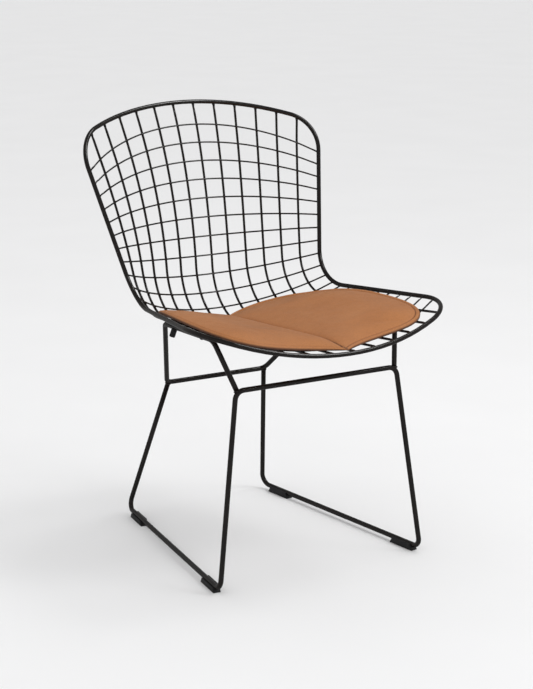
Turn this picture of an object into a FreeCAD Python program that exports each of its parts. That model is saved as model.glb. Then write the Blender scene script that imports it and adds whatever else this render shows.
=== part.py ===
import FreeCAD, Part
import Sketcher
import math
import os

# Wire mesh chair with a welded wire shell, a bent rod base and a loose seat pad.
# Frame: the front of the chair faces -Y, +X is on the left hand of a person sitting in it,
# +Z is up and the floor is Z = 0. The chair is the same on both sides of the plane X = 0, and
# Y = 0 is halfway between the front edge of the seat and the top of the back.

Vector = FreeCAD.Vector

doc = FreeCAD.newDocument("wire_mesh_chair")
sheet = doc.addObject("Spreadsheet::Sheet", "dimensions")

# Driving dimensions, millimetres and degrees
DIMENSIONS = [
    ("rim_diameter", 8.0),
    ("long_wire_diameter", 4.5),
    ("cross_wire_diameter", 3.0),
    ("base_rod_diameter", 9.0),
    ("rod_sides", 8),
    ("wire_sides", 6),
    ("moulding_sides", 12),
    ("long_wires_each_side", 6),
    ("cross_wire_count", 22),
    ("weld_clearance", 0.12),
    ("butt_clearance", 0.4),
    # share of the distance between the two layers of wire that the long wires lie behind the shell
    ("long_layer_share", 0.42),
    ("coping_reach", 51.0),
    # middle line of the shell, seen from the side
    ("front_edge_reach", 293.9),
    ("front_edge_height", 416.5),
    ("hollow_reach", 202.1),
    ("hollow_height", 378.5),
    ("hollow_setback", 98.0),
    ("back_top_reach", 293.6),
    ("back_top_height", 779.0),
    ("lumbar_lean", 6.0),
    # corners of the side line of the shell, before they are rounded
    ("front_corner_width", 257.5),
    ("front_corner_reach", 237.4),
    ("front_corner_height", 467.0),
    ("front_corner_setback", 74.0),
    ("waist_width", 194.0),
    ("waist_reach", 111.1),
    ("waist_height", 443.5),
    ("waist_setback", 65.0),
    ("shoulder_width", 254.0),
    ("shoulder_reach", 216.1),
    ("shoulder_height", 734.0),
    ("shoulder_setback", 56.0),
    # spacing of the wires
    ("long_wire_share", 0.151),
    ("first_cross_wire_drop", 45.0),
    ("first_cross_wire_side_drop", 61.0),
    ("cross_wire_pitch", 34.9),
    ("cross_wire_pitch_growth", 0.21),
    ("side_pitch_share", 0.693),
    # bent rod base
    ("floor_rail_height", 10.0),
    ("front_foot_width", 207.0),
    ("front_foot_reach", 215.9),
    ("rear_foot_width", 149.5),
    ("rear_foot_reach", 252.1),
    ("front_bar_width", 162.5),
    ("front_bar_reach", 193.9),
    ("front_bar_height", 350.0),
    ("rear_bar_width", 105.5),
    ("rear_bar_reach", 169.6),
    ("rear_bar_height", 273.0),
    ("side_rail_front_share", 0.748),
    ("side_rail_front_station", 20.2),
    ("side_rail_front_drop", 4.8),
    ("side_rail_rear_share", 0.785),
    ("side_rail_rear_station", 13.74),
    ("side_rail_rear_drop", 7.5),
    ("rod_bend_radius", 17.0),
    # clips that hold the shell on the side rails
    ("rear_clip_distance", 43.5),
    ("front_clip_distance", 156.0),
    ("clip_block_width", 14.0),
    ("clip_block_corner", 2.5),
    ("clip_block_wall", 4.0),
    ("clip_top_clearance", 0.6),
    ("clip_cap_diameter", 10.5),
    ("clip_cap_length", 14.0),
    ("clip_cap_saddle", 1.5),
    ("clip_cap_chamfer", 1.5),
    ("screw_diameter", 4.0),
    ("screw_head_diameter", 7.0),
    ("screw_head_height", 2.6),
    ("screw_recess_depth", 7.0),
    ("screw_socket_width", 2.5),
    ("screw_socket_depth", 1.8),
    ("screw_end_cover", 1.5),
    ("hole_clearance", 0.2),
    ("moulding_clearance", 0.1),
    # plastic glides under the floor rails
    ("glide_length", 60.0),
    ("glide_width", 14.0),
    ("glide_height", 9.0),
    ("glide_end_slope", 5.0),
    ("glide_lip_height", 3.0),
    ("glide_lip_thickness", 2.0),
    ("rear_glide_distance", 59.0),
    ("front_glide_distance", 45.0),
    # seat pad
    ("pad_clearance", 0.9),
    ("pad_edge_height", 9.0),
    ("pad_edge_bulge", 2.6),
]


def fill_sheet():
    for row, (alias, value) in enumerate(DIMENSIONS, start=1):
        sheet.set("A%d" % row, alias.replace("_", " "))
        sheet.set("B%d" % row, repr(value))
        sheet.setAlias("B%d" % row, alias)
    doc.recompute()


fill_sheet()


def size(alias):
    return float(sheet.get(alias))


# Curves made of straight lines and tangent arcs

def direction(start, end):
    return (end - start).normalize()


def mirrored(point):
    return Vector(-point.x, point.y, point.z)


def line_edge(start, end):
    return Part.LineSegment(start, end).toShape()


def arc_edge(start, tangent, end):
    """Arc that leaves start along tangent and ends at end."""
    chord = end - start
    along = chord.dot(tangent)
    across = (chord - tangent * along).Length
    if across < 1e-6 * chord.Length:
        return line_edge(start, end)
    half_turn = math.atan2(across, along)
    bulge = tangent - direction(start, end) * math.cos(half_turn)
    rise = 0.5 * chord.Length * math.tan(half_turn / 2)
    middle = (start + end) * 0.5 + bulge.normalize() * rise
    return Part.Arc(start, middle, end).toShape()


def turned_round(edge):
    """The same edge, run from its end to its start."""
    if edge.Curve.TypeId == "Part::GeomLine":
        return line_edge(edge.lastVertex().Point, edge.firstVertex().Point)
    middle = edge.valueAt((edge.FirstParameter + edge.LastParameter) / 2)
    return Part.Arc(edge.lastVertex().Point, middle, edge.firstVertex().Point).toShape()


class Path:
    """Edges in a row, measured along their length and straight beyond both ends."""

    def __init__(self, edges):
        self.edges = edges

    def at(self, distance):
        """Point at a distance from the start."""
        if distance < 0:
            first = self.edges[0]
            return first.firstVertex().Point + first.tangentAt(first.FirstParameter) * distance
        for edge in self.edges:
            if distance <= edge.Length:
                return edge.valueAt(edge.getParameterByLength(distance))
            distance -= edge.Length
        last = self.edges[-1]
        return last.lastVertex().Point + last.tangentAt(last.LastParameter) * distance


# Side line and middle line of the shell

def shell_points():
    corner = {}
    corner["front"] = Vector(size("front_corner_width"), -size("front_corner_reach"),
                             size("front_corner_height"))
    corner["waist"] = Vector(size("waist_width"), size("waist_reach"), size("waist_height"))
    corner["shoulder"] = Vector(size("shoulder_width"), size("shoulder_reach"),
                                size("shoulder_height"))
    corner["front edge"] = Vector(0, -size("front_edge_reach"), size("front_edge_height"))
    corner["hollow"] = Vector(0, size("hollow_reach"), size("hollow_height"))
    corner["back top"] = Vector(0, size("back_top_reach"), size("back_top_height"))
    return corner


corners = shell_points()
toward_side = Vector(1, 0, 0)


def crown_edges(centre, corner, setback):
    """Arc from the middle plane that points at a corner and ends short of it."""
    across = corner - centre
    level = across.dot(across) - across.x * across.x
    knee = (across.x ** 2 + level - setback ** 2) / (2 * (across.x + setback))
    turn_point = centre + toward_side * knee
    end = turn_point + direction(turn_point, corner) * knee
    return arc_edge(centre, toward_side, end), end


def side_line():
    """Straight seat side, waist bend and straight back side."""
    setback = size("waist_setback")
    upper = corners["waist"] + direction(corners["waist"], corners["shoulder"]) * setback
    lower = corners["waist"] + direction(corners["waist"], corners["front"]) * setback
    down = direction(corners["shoulder"], corners["waist"])
    return [
        line_edge(corners["shoulder"], upper),
        arc_edge(upper, down, lower),
        line_edge(lower, corners["front"]),
    ]


def rim_half():
    """The rim on the +X side, from the middle of the top to the middle of the front."""
    top, top_end = crown_edges(corners["back top"], corners["shoulder"], size("shoulder_setback"))
    front, front_end = crown_edges(corners["front edge"], corners["front"],
                                   size("front_corner_setback"))
    shoulder_end = corners["shoulder"] + (
        direction(corners["shoulder"], corners["waist"]) * size("shoulder_setback"))
    front_start = corners["front"] + (
        direction(corners["front"], corners["waist"]) * size("front_corner_setback"))
    upper, bend, lower = side_line()
    return [
        top,
        arc_edge(top_end, direction(top_end, corners["shoulder"]), shoulder_end),
        line_edge(shoulder_end, upper.lastVertex().Point),
        bend,
        line_edge(bend.lastVertex().Point, front_start),
        arc_edge(front_start, direction(front_start, corners["front"]), front_end),
        turned_round(front),
    ]


def middle_line():
    """From the middle of the top, down the back, round the hollow and to the front edge."""
    lean = math.radians(size("lumbar_lean"))
    upward = Vector(0, math.sin(lean), math.cos(lean))
    setback = size("hollow_setback")
    upper = corners["hollow"] + upward * setback
    forward = direction(corners["hollow"], corners["front edge"])
    lower = corners["hollow"] + forward * setback
    return [
        turned_round(arc_edge(upper, upward, corners["back top"])),
        arc_edge(upper, upward * -1, lower),
        line_edge(lower, corners["front edge"]),
    ]


side_path = Path(side_line())
middle_path = Path(middle_line())


def station_distance(station):
    """Distance along the middle line from the first cross wire to a station."""
    steps = station - 1
    growth = size("cross_wire_pitch_growth")
    return size("cross_wire_pitch") * steps + growth * steps * (steps - 1) / 2


def shell_point(share, station):
    """Point on the shell: share runs across from 0 in the middle to 1 at the side line."""
    distance = station_distance(station)
    middle = middle_path.at(size("first_cross_wire_drop") + distance)
    side = side_path.at(size("first_cross_wire_side_drop") + size("side_pitch_share") * distance)
    width = side.x
    depth = side - middle
    depth.x = 0
    rise = depth.Length
    radius = (width * width + rise * rise) / (2 * rise)
    angle = share * math.atan2(width, radius - rise)
    across = toward_side * (radius * math.sin(angle))
    return middle + across + depth * (radius * (1 - math.cos(angle)) / rise)


def shell_normal(share, station):
    """Unit normal of the shell toward the sitter."""
    step = 0.01
    across = shell_point(share + step, station) - shell_point(share - step, station)
    along = shell_point(share, station + step) - shell_point(share, station - step)
    return along.cross(across).normalize()


def lifted_point(share, station, lift):
    return shell_point(share, station) + shell_normal(share, station) * lift


# Rods and wires

def rod(name, path_edges, radius_expression, sides_alias):
    """Rod of faceted round section along a path."""
    path = doc.addObject("Part::Feature", name + "_path")
    path.Shape = Part.Wire(path_edges)
    first = path_edges[0]
    start = first.valueAt(first.FirstParameter)
    heading = first.tangentAt(first.FirstParameter)
    profile = doc.addObject("Part::RegularPolygon", name + "_profile")
    profile.setExpression("Polygon", "dimensions." + sides_alias)
    profile.setExpression("Circumradius", radius_expression)
    profile.Placement = FreeCAD.Placement(start, FreeCAD.Rotation(Vector(0, 0, 1), heading))
    sweep = doc.addObject("Part::Sweep", name)
    sweep.Sections = [profile]
    sweep.Spine = (path, ["Edge%d" % (k + 1) for k in range(len(path_edges))])
    sweep.Solid = True
    sweep.Frenet = False
    return sweep


def wire_corner_radius(diameter_alias):
    """Distance from the middle of a faceted wire to its corners: as much steel as in round wire."""
    facet = 2 * math.pi / int(size("wire_sides"))
    return size(diameter_alias) / 2 * math.sqrt(facet / math.sin(facet))


def polygon_wire(points):
    return Part.makePolygon(points + [points[0]])


def mitred_rod(name, points, reference, diameter_alias):
    """Straight runs of faceted wire, mitred at every knee, with a flat facing the reference."""
    sides = int(size("wire_sides"))
    facet = 2 * math.pi / sides
    radius = wire_corner_radius(diameter_alias)
    heading = direction(points[0], points[1])
    across = heading.cross(reference).normalize()
    up = across.cross(heading)
    ring = []
    for k in range(sides):
        turn = facet * (k + 0.5)
        ring.append(points[0] + up * (radius * math.cos(turn)) + across * (radius * math.sin(turn)))
    rings = [polygon_wire(ring)]
    for k in range(1, len(points)):
        heading = direction(points[k - 1], points[k])
        after = direction(points[k], points[k + 1]) if k + 1 < len(points) else heading
        mitre = (heading + after).normalize()
        ring = [corner + heading * ((points[k] - corner).dot(mitre) / heading.dot(mitre))
                for corner in ring]
        rings.append(polygon_wire(ring))
    piece = doc.addObject("Part::Feature", name)
    piece.Shape = Part.makeLoft(rings, True, True)
    piece.Placement = FreeCAD.Placement()
    return piece


def half_of(alias):
    return "dimensions.%s / 2" % alias


def mirror_copy(name, source):
    """The same piece on the other side of the plane X = 0."""
    copy = doc.addObject("Part::Mirroring", name)
    copy.Source = source
    copy.Base = Vector(0, 0, 0)
    copy.Normal = toward_side
    return copy


def cut(name, base, tools):
    """Base with every tool taken away."""
    for number, tool in enumerate(tools, start=1):
        result = doc.addObject("Part::Cut", "%s_cut_%d" % (name, number))
        result.Base = base
        result.Tool = tool
        base = result
    return base


def fuse(name, pieces):
    joined = doc.addObject("Part::MultiFuse", name)
    joined.Shapes = pieces
    return joined


nodes = []


def keep(label, piece):
    """Name a finished sub-part."""
    piece.Label = label
    nodes.append(piece)
    return piece


# The rim and the wires of the shell

rim_radius = size("rim_diameter") / 2
long_radius = size("long_wire_diameter") / 2
cross_radius = size("cross_wire_diameter") / 2
layer_gap = long_radius + cross_radius + size("weld_clearance")
long_lift = -size("long_layer_share") * layer_gap
cross_lift = long_lift + layer_gap
long_wires_each_side = int(size("long_wires_each_side"))
share_past_rim = 1.06
rim_wire = Part.Wire(rim_half())


def make_rim():
    half = rod("rim_half", rim_half(), half_of("rim_diameter"), "rod_sides")
    return keep("rim", fuse("rim", [half, mirror_copy("rim_other_half", half)]))


def rim_gap(point, heading, wire_radius):
    """Room between the rim and the flat end that a wire would have at a point."""
    distance, pairs, _ = Part.Vertex(point).distToShape(rim_wire)
    slant = 1 - heading.dot(direction(point, pairs[0][1])) ** 2
    return distance - rim_radius - wire_radius * math.sqrt(max(slant, 0))


def rim_end(start, beyond, wire_radius):
    """Where a wire that runs from start past the rim ends, to butt against the rim."""
    heading = direction(start, beyond)
    reach = (beyond - start).Length
    step = reach / 40
    low = 0
    while low + step < reach and rim_gap(start + heading * (low + step), heading,
                                         wire_radius) > size("butt_clearance"):
        low += step
    high = low + step
    for _ in range(12):
        middle = (low + high) / 2
        if rim_gap(start + heading * middle, heading, wire_radius) > size("butt_clearance"):
            low = middle
        else:
            high = middle
    return start + heading * low


def long_wire_share(number):
    return (number - 0.5) * size("long_wire_share")


def make_cross_wires():
    """Each cross wire runs straight from one long wire to the next, as far as the rim."""
    crossings = [long_wire_share(number) for number in range(1, long_wires_each_side + 1)]
    for number in range(1, int(size("cross_wire_count")) + 1):
        half = [lifted_point(share, number, cross_lift) for share in crossings]
        half.append(rim_end(half[-1], lifted_point(share_past_rim, number, cross_lift), cross_radius))
        points = [mirrored(point) for point in reversed(half)] + half
        name = "cross_wire_%02d" % number
        normal = shell_normal(-crossings[-1], number)
        keep(name, mitred_rod(name, points, normal, "cross_wire_diameter"))


def long_wire_stations():
    """Stations of the knees of a long wire, closer together in the bend of the seat."""
    back = list(range(1, 9))
    bend = [9 + step / 2 for step in range(12)]
    return back + bend + [18.5]


def long_wire_knees(share):
    """Knees of a long wire, with a point past the rim at both ends."""
    stations = [-1.5] + long_wire_stations() + [size("cross_wire_count") + 2.5]
    return stations, [lifted_point(share, station, long_lift) for station in stations]


def make_long_wires():
    """Each long wire runs from knee to knee, from the top of the rim to its front."""
    for number in range(1, long_wires_each_side + 1):
        share = long_wire_share(number)
        points = long_wire_knees(share)[1]
        points[0] = rim_end(points[1], points[0], long_radius)
        points[-1] = rim_end(points[-2], points[-1], long_radius)
        name = "long_wire_%d" % number
        left = mitred_rod(name, points, shell_normal(share, 1), "long_wire_diameter")
        keep(name + "_left", left)
        keep(name + "_right", mirror_copy(name + "_right", left))


# The base: two bent rods, welded together at the ends of the front and rear bars

def bent_edges(points, radius):
    """Straight runs between points, with a tangent arc at each point between the ends."""
    edges = []
    start = points[0]
    for k in range(1, len(points) - 1):
        inward = direction(points[k], points[k - 1])
        outward = direction(points[k], points[k + 1])
        half_turn = (math.pi - inward.getAngle(outward)) / 2
        setback = radius * math.tan(half_turn)
        arc_start = points[k] + inward * setback
        edges.append(line_edge(start, arc_start))
        start = points[k] + outward * setback
        edges.append(arc_edge(arc_start, inward * -1, start))
    edges.append(line_edge(start, points[-1]))
    return edges


def bend_middle(before, corner, after, radius):
    """The point halfway along the arc that rounds a corner."""
    inward = direction(corner, before)
    outward = direction(corner, after)
    half_turn = (math.pi - inward.getAngle(outward)) / 2
    return corner + (inward + outward).normalize() * (radius / math.cos(half_turn) - radius)


def base_points():
    """Corners of the base on the +X side, before they are rounded."""
    floor = size("floor_rail_height")
    corner = {}
    corner["front foot"] = Vector(size("front_foot_width"), -size("front_foot_reach"), floor)
    corner["rear foot"] = Vector(size("rear_foot_width"), size("rear_foot_reach"), floor)
    corner["front bar"] = Vector(size("front_bar_width"), -size("front_bar_reach"),
                                 size("front_bar_height"))
    corner["rear bar"] = Vector(size("rear_bar_width"), size("rear_bar_reach"),
                                size("rear_bar_height"))
    corner["rail front"] = lifted_point(size("side_rail_front_share"),
                                        size("side_rail_front_station"),
                                        -size("side_rail_front_drop"))
    corner["rail rear"] = lifted_point(size("side_rail_rear_share"),
                                       size("side_rail_rear_station"),
                                       -size("side_rail_rear_drop"))
    return corner


base = base_points()
bend_radius = size("rod_bend_radius")
base_radius = half_of("base_rod_diameter")
cope_radius = base_radius + " / cos(180 / dimensions.rod_sides) + dimensions.weld_clearance"


def both_sides(points):
    return points + [mirrored(point) for point in reversed(points)]


def coping_tools(name, before, corner, after):
    """The bend that a rod is welded to, a little thicker, on both sides."""
    reach = size("coping_reach")
    near = corner + direction(corner, before) * reach
    far = corner + direction(corner, after) * reach
    tool = rod(name, bent_edges([near, corner, far], bend_radius), cope_radius, "rod_sides")
    return [tool, mirror_copy(name + "_other", tool)]


def make_lower_frame():
    """Rear legs, floor rails, front legs and front bar in one bent rod."""
    top = bend_middle(base["rail rear"], base["rear bar"], mirrored(base["rear bar"]), bend_radius)
    points = both_sides([top, base["rear foot"], base["front foot"], base["front bar"]])
    whole = rod("lower_rod", bent_edges(points, bend_radius), base_radius,
                "rod_sides")
    tools = coping_tools("rear_weld", base["rail rear"], base["rear bar"],
                         mirrored(base["rear bar"]))
    return keep("lower_frame", cut("lower_frame", whole, tools))


def make_upper_frame(screw_holes):
    """Front struts, side rails, rear struts and rear bar in one bent rod."""
    foot = bend_middle(base["front foot"], base["front bar"], mirrored(base["front bar"]),
                       bend_radius)
    points = both_sides([foot, base["rail front"], base["rail rear"], base["rear bar"]])
    whole = rod("upper_rod", bent_edges(points, bend_radius), base_radius,
                "rod_sides")
    tools = coping_tools("front_weld", base["front foot"], base["front bar"],
                         mirrored(base["front bar"]))
    return keep("upper_frame", cut("upper_frame", whole, tools + screw_holes))


# Clips: a moulded block that grips two long wires, a round cap under the rail and a screw

def frame_placement(origin, along, up):
    """Frame whose X axis runs along, and whose Z axis is as near up as it can be."""
    across = up.cross(along).normalize()
    rotation = FreeCAD.Rotation(along, across, along.cross(across), "XYZ")
    return FreeCAD.Placement(origin, rotation)


def station_at(share, reach):
    """Station at which a line of the seat has a given Y."""
    low = size("side_rail_rear_station") - 1
    high = size("side_rail_front_station") + 1
    for _ in range(30):
        middle = (low + high) / 2
        if shell_point(share, middle).y > reach:
            low = middle
        else:
            high = middle
    return low


def round_bar(name, placement, radius, bottom, top):
    """Upright bar of faceted round section on the Z axis of a clip."""
    piece = doc.addObject("Part::Prism", name)
    piece.setExpression("Polygon", "dimensions.moulding_sides")
    piece.setExpression("Circumradius", radius)
    piece.Height = top - bottom
    piece.Placement = placement * FreeCAD.Placement(Vector(0, 0, bottom), FreeCAD.Rotation())
    return piece


def seat_tool(name, start, end, corner_radius):
    """Bar along a wire or rail, a little thicker and longer, that cuts its seat in a moulding."""
    tool = doc.addObject("Part::Prism", name)
    sides = int(size("moulding_sides"))
    beyond = 2 * size("clip_block_width")
    heading = direction(start, end)
    tool.Polygon = sides
    tool.Circumradius = (corner_radius + size("moulding_clearance")) / math.cos(math.pi / sides)
    tool.Height = (end - start).Length + 2 * beyond
    tool.Placement = FreeCAD.Placement(start - heading * beyond,
                                       FreeCAD.Rotation(Vector(0, 0, 1), heading))
    return tool


def picked_edges(piece, heading):
    """Numbers of the straight edges that run along a heading."""
    doc.recompute()
    found = []
    for number, edge in enumerate(piece.Shape.Edges, start=1):
        if edge.Curve.TypeId == "Part::GeomLine":
            if abs(direction(*[vertex.Point for vertex in edge.Vertexes]).dot(heading)) > 0.999:
                found.append(number)
    return found


def chamfered(name, piece, numbers, alias):
    width = size(alias)
    chamfer = doc.addObject("Part::Chamfer", name)
    chamfer.Base = piece
    chamfer.Edges = [(number, width, width) for number in numbers]
    return chamfer


rod_radius = size("base_rod_diameter") / 2
same_place = 0.01
loose_hole = half_of("screw_diameter") + " + dimensions.hole_clearance"
tight_hole = half_of("screw_diameter") + " + dimensions.moulding_clearance"
gripped_wires = [long_wire_share(5), long_wire_share(6)]


class Clip:
    """One clip on the +X side: its frame, with X along the rail and Z toward the sitter."""

    def __init__(self, name, distance):
        along = direction(base["rail rear"], base["rail front"])
        origin = base["rail rear"] + along * distance
        self.name = name
        self.station = station_at(sum(gripped_wires) / 2, origin.y)
        normal = shell_normal(sum(gripped_wires) / 2, self.station)
        self.placement = frame_placement(origin, along, normal)
        self.along = along
        self.cap_top = size("clip_cap_saddle") - rod_radius
        self.head_seat = -rod_radius - size("clip_cap_length") + size("screw_recess_depth")
        self.block_top = (self.height_of(cross_lift - cross_radius, gripped_wires)
                          - size("clip_top_clearance"))

    def height_of(self, lift, shares):
        """Lowest height of some lines of the shell above the centre line of the rail."""
        to_clip = self.placement.inverse()
        return min(to_clip.multVec(lifted_point(share, self.station, lift)).z for share in shares)

    def rail_seat(self, name):
        origin = self.placement.Base
        return seat_tool(name, origin, origin + self.along, rod_radius)

    def wire_seats(self):
        seats = []
        for number, share in enumerate(gripped_wires, start=1):
            stations, knees = long_wire_knees(share)
            after = min(k for k, station in enumerate(stations) if station > self.station)
            behind, ahead = knees[after - 1:after + 1]
            seats.append(seat_tool("%s_wire_seat_%d" % (self.name, number), behind, ahead,
                                   wire_corner_radius("long_wire_diameter")))
        return seats

    def block(self):
        """Moulded block from the rail up to the cross wires, open at the top over each wire."""
        to_clip = self.placement.inverse()
        inner, outer = [to_clip.multVec(lifted_point(share, self.station, long_lift)).y
                        for share in gripped_wires]
        overhang = long_radius + size("clip_block_wall")
        width = size("clip_block_width")
        box = doc.addObject("Part::Box", self.name + "_box")
        box.setExpression("Length", "dimensions.clip_block_width")
        box.Width = outer - inner + 2 * overhang
        box.Height = self.block_top
        corner = Vector(-width / 2, inner - overhang, 0)
        box.Placement = self.placement * FreeCAD.Placement(corner, FreeCAD.Rotation())
        upright = self.placement.Rotation.multVec(Vector(0, 0, 1))
        shaped = chamfered(self.name + "_shaped", box, picked_edges(box, upright),
                           "clip_block_corner")
        thread = round_bar(self.name + "_thread", self.placement, tight_hole, -1,
                          self.block_top - size("screw_end_cover") / 2)
        tools = [self.rail_seat(self.name + "_block_seat"), thread] + self.wire_seats()
        return cut(self.name + "_block", shaped, tools)

    def cap(self):
        """Round cap under the rail, with a saddle for it and a recess for the screw head."""
        bottom = self.cap_top - size("clip_cap_length") - size("clip_cap_saddle")
        body = round_bar(self.name + "_cap_body", self.placement, half_of("clip_cap_diameter"),
                        bottom, self.cap_top)
        doc.recompute()
        to_clip = self.placement.inverse()
        lowest = [number for number, edge in enumerate(body.Shape.Edges, start=1)
                  if abs(to_clip.multVec(edge.CenterOfMass).z - bottom) < same_place]
        chamfer = chamfered(self.name + "_cap_chamfer", body, lowest, "clip_cap_chamfer")
        recess = round_bar(self.name + "_recess", self.placement,
                          half_of("screw_head_diameter") + " + dimensions.hole_clearance",
                          bottom - 1, self.head_seat)
        hole = round_bar(self.name + "_cap_hole", self.placement, loose_hole, bottom, self.cap_top)
        return cut(self.name + "_cap", chamfer,
                   [self.rail_seat(self.name + "_cap_seat"), recess, hole])

    def screw(self):
        """Socket head screw from the cap through the rail into the block."""
        head_bottom = self.head_seat - size("screw_head_height")
        head = round_bar(self.name + "_head", self.placement, half_of("screw_head_diameter"),
                        head_bottom, self.head_seat)
        shank = round_bar(self.name + "_shank", self.placement, half_of("screw_diameter"),
                         self.head_seat, self.block_top - size("screw_end_cover"))
        socket = doc.addObject("Part::Prism", self.name + "_socket")
        socket.Polygon = 6
        socket.setExpression("Circumradius", half_of("screw_socket_width") + " / cos(30)")
        socket.setExpression("Height", "dimensions.screw_socket_depth")
        socket.Placement = self.placement * FreeCAD.Placement(Vector(0, 0, head_bottom),
                                                              FreeCAD.Rotation())
        return cut(self.name + "_screw", fuse(self.name + "_blank", [head, shank]), [socket])

    def rail_hole(self):
        return round_bar(self.name + "_rail_hole", self.placement, loose_hole,
                        -2 * rod_radius, 2 * rod_radius)


def make_clips():
    """All pieces of the four clips. Returns the tools that drill the side rails."""
    groups = {}
    for end in ("front", "rear"):
        clip = Clip(end + "_clip", size(end + "_clip_distance"))
        for label, piece in (("clip_blocks", clip.block()), ("clip_caps", clip.cap()),
                             ("clip_screws", clip.screw()), ("drills", clip.rail_hole())):
            both = [piece, mirror_copy("%s_%s_right" % (label, end), piece)]
            groups.setdefault(label, []).extend(both)
    drills = groups.pop("drills")
    for label, pieces in groups.items():
        group = doc.addObject("Part::Compound", label)
        group.Links = pieces
        keep(label, group)
    return drills


# Glides: moulded feet under the floor rails

def plane_of(body, role):
    for feature in body.Origin.OriginFeatures:
        if feature.Role == role:
            return feature


def sketch_on(body, name, role):
    sketch = body.newObject("Sketcher::SketchObject", name)
    sketch.AttachmentSupport = (plane_of(body, role), [""])
    sketch.MapMode = "FlatFace"
    return sketch


def closed_outline(sketch, corners_2d):
    """Straight outline whose corners are given as pairs."""
    points = [Vector(across, up, 0) for across, up in corners_2d]
    count = len(points)
    for k in range(count):
        sketch.addGeometry(Part.LineSegment(points[k], points[(k + 1) % count]))
    for k in range(count):
        sketch.addConstraint(Sketcher.Constraint("Coincident", k, 2, (k + 1) % count, 1))


def bound_distance(sketch, kind, start, end, value, expression):
    """Horizontal or vertical distance between two corners, tied to the sheet."""
    number = sketch.addConstraint(Sketcher.Constraint(kind, start, 1, end, 1, value))
    sketch.setExpression("Constraints[%d]" % number, expression)


def glide_body(name):
    """Moulded foot with sloped ends, a seat for the rail and a lip along its inner side."""
    body = doc.addObject("PartDesign::Body", name)
    length = size("glide_length")
    height = size("glide_height")
    slope = size("glide_end_slope")
    profile = sketch_on(body, name + "_profile", "XZ_Plane")
    closed_outline(profile, [(-length / 2, 0), (length / 2, 0), (length / 2 - slope, height),
                             (slope - length / 2, height)])
    profile.addConstraint(Sketcher.Constraint("Horizontal", 2))
    profile.addConstraint(Sketcher.Constraint("PointOnObject", 0, 1, -1))
    profile.addConstraint(Sketcher.Constraint("Symmetric", 0, 1, 0, 2, -2))
    bound_distance(profile, "DistanceX", 0, 1, length, "dimensions.glide_length")
    bound_distance(profile, "DistanceY", 1, 2, height, "dimensions.glide_height")
    bound_distance(profile, "DistanceX", 2, 1, slope, "dimensions.glide_end_slope")
    bound_distance(profile, "DistanceX", 0, 3, slope, "dimensions.glide_end_slope")
    block = body.newObject("PartDesign::Pad", name + "_pad")
    block.Profile = profile
    block.Midplane = True
    block.setExpression("Length", "dimensions.glide_width")
    lip_sketch = sketch_on(body, name + "_lip_profile", "YZ_Plane")
    inner = -size("glide_width") / 2
    thickness = size("glide_lip_thickness")
    lip_top = height + size("glide_lip_height")
    closed_outline(lip_sketch, [(inner, height), (inner + thickness, height),
                                (inner + thickness, lip_top), (inner, lip_top)])
    for number in (0, 2):
        lip_sketch.addConstraint(Sketcher.Constraint("Horizontal", number))
    for number in (1, 3):
        lip_sketch.addConstraint(Sketcher.Constraint("Vertical", number))
    number = lip_sketch.addConstraint(Sketcher.Constraint("DistanceX", 0, 1, -1, 1, -inner))
    lip_sketch.setExpression("Constraints[%d]" % number, "dimensions.glide_width / 2")
    number = lip_sketch.addConstraint(Sketcher.Constraint("DistanceY", -1, 1, 0, 1, height))
    lip_sketch.setExpression("Constraints[%d]" % number, "dimensions.glide_height")
    bound_distance(lip_sketch, "DistanceX", 0, 1, thickness, "dimensions.glide_lip_thickness")
    bound_distance(lip_sketch, "DistanceY", 1, 2, lip_top - height,
                   "dimensions.glide_lip_height")
    lip = body.newObject("PartDesign::Pad", name + "_lip")
    lip.Profile = lip_sketch
    lip.Midplane = True
    lip.setExpression("Length", "dimensions.glide_length - 2 * dimensions.glide_end_slope")
    seat_sketch = sketch_on(body, name + "_seat_profile", "YZ_Plane")
    radius = rod_radius + size("moulding_clearance")
    axis_height = size("floor_rail_height")
    seat_sketch.addGeometry(Part.Circle(Vector(0, axis_height, 0), Vector(0, 0, 1), radius))
    seat_sketch.addConstraint(Sketcher.Constraint("PointOnObject", 0, 3, -2))
    number = seat_sketch.addConstraint(Sketcher.Constraint("DistanceY", -1, 1, 0, 3, axis_height))
    seat_sketch.setExpression("Constraints[%d]" % number, "dimensions.floor_rail_height")
    number = seat_sketch.addConstraint(Sketcher.Constraint("Radius", 0, radius))
    seat_sketch.setExpression("Constraints[%d]" % number,
                              "dimensions.base_rod_diameter / 2 + dimensions.moulding_clearance")
    seat = body.newObject("PartDesign::Pocket", name + "_seat")
    seat.Profile = seat_sketch
    seat.Midplane = True
    seat.Type = "Length"
    seat.setExpression("Length", "dimensions.glide_length")
    body.Tip = seat
    return body


def make_glides():
    along = direction(base["rear foot"], base["front foot"])
    ends = (("front", base["front foot"] - along * size("front_glide_distance")),
            ("rear", base["rear foot"] + along * size("rear_glide_distance")))
    for end, centre in ends:
        on_floor = Vector(centre.x, centre.y, 0)
        for side, sign in (("left", 1), ("right", -1)):
            name = "glide_%s_%s" % (end, side)
            body = keep(name, glide_body(name))
            heading = Vector(along.x * sign, along.y, 0) * sign
            body.Placement = frame_placement(Vector(on_floor.x * sign, on_floor.y, 0), heading,
                                             Vector(0, 0, 1))


# Seat pad: two crowned flanks that meet in a crease on the middle plane

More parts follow.
